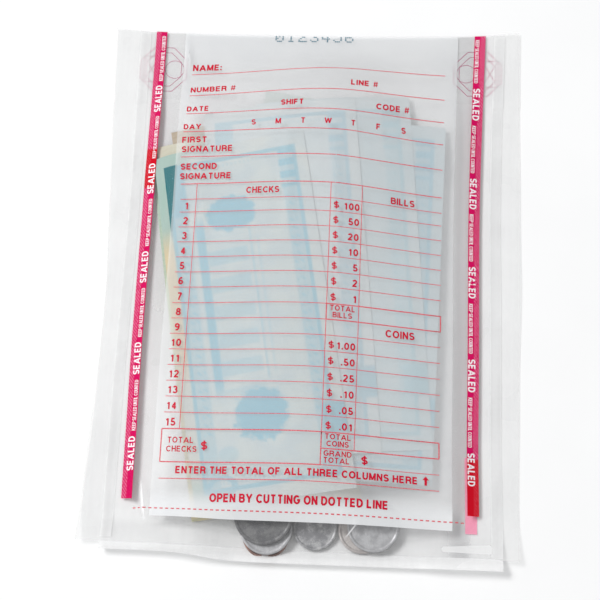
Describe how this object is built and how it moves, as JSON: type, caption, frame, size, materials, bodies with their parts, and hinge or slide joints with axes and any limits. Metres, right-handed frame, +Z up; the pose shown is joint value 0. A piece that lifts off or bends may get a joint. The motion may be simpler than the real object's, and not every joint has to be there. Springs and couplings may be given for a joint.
{
  "type": "cash deposit bag",
  "caption": "Clear film deposit bag with a write-on form panel and tamper-evident side strips, sealed over loose notes and coins, with its closure flap folded behind.",
  "frame": {"origin": "middle of the footprint, on the surface that the bag rests on", "axes": "+X right across the form, +Y towards the folded top, +Z up through the bulge of the front ply"},
  "size_m": [0.178, 0.2316, 0.0141],
  "materials": {
    "clear_film": "clear polyethylene film, slightly hazy",
    "welded_film": "fused film, slightly milky",
    "write_on_ink": "translucent white print, satin",
    "strip_ink": "crimson print under gloss film",
    "mark_ink": "solid red print",
    "adhesive": "clear pressure-sensitive adhesive",
    "note_paper": "engraved print on cotton paper",
    "cream_paper": "printed bond paper",
    "green_paper": "printed bond paper",
    "tan_paper": "printed bond paper",
    "white_paper": "printed bond paper",
    "nickel_alloy": "worn struck metal",
    "copper": "worn struck copper"
  },
  "bodies": {
    "pouch": {"back_ply": "clear_film", "front_ply": "clear_film", "bottom_hem": "clear_film", "left_side_weld": "welded_film", "right_side_weld": "welded_film", "write_on_panel": "write_on_ink", "left_seal_strip": "strip_ink", "right_seal_strip": "strip_ink", "left_registration_mark": "mark_ink", "right_registration_mark": "mark_ink"},
    "flap": {"closure_flap": "clear_film", "flap_adhesive": "adhesive"},
    "banknotes": {"banknote_1": "note_paper", "banknote_2": "note_paper", "banknote_3": "note_paper", "banknote_4": "note_paper", "banknote_5": "note_paper"},
    "checks": {"check_1": "cream_paper", "check_2": "green_paper", "check_3": "tan_paper", "deposit_slip": "white_paper"},
    "coins": {"penny_1": "copper", "nickel_1": "nickel_alloy", "quarter_1": "nickel_alloy", "dime_1": "nickel_alloy", "penny_2": "copper", "nickel_2": "nickel_alloy"}
  },
  "joints": [
    {"name": "flap_fold", "type": "hinge", "parent": "pouch", "child": "flap", "pos_m": [0, 0.1158, 0.0007], "axis": [1, 0, 0], "range_deg": [0, 180]},
    {"name": "banknotes_slide", "type": "slide", "parent": "pouch", "child": "banknotes", "axis": [0, 1, 0], "range_m": [0, 0.012]},
    {"name": "checks_slide", "type": "slide", "parent": "pouch", "child": "checks", "axis": [0, 1, 0], "range_m": [0, 0.012]},
    {"name": "coins_slide", "type": "slide", "parent": "pouch", "child": "coins", "axis": [1, 0, 0], "range_m": [0, 0.02]}
  ]
}
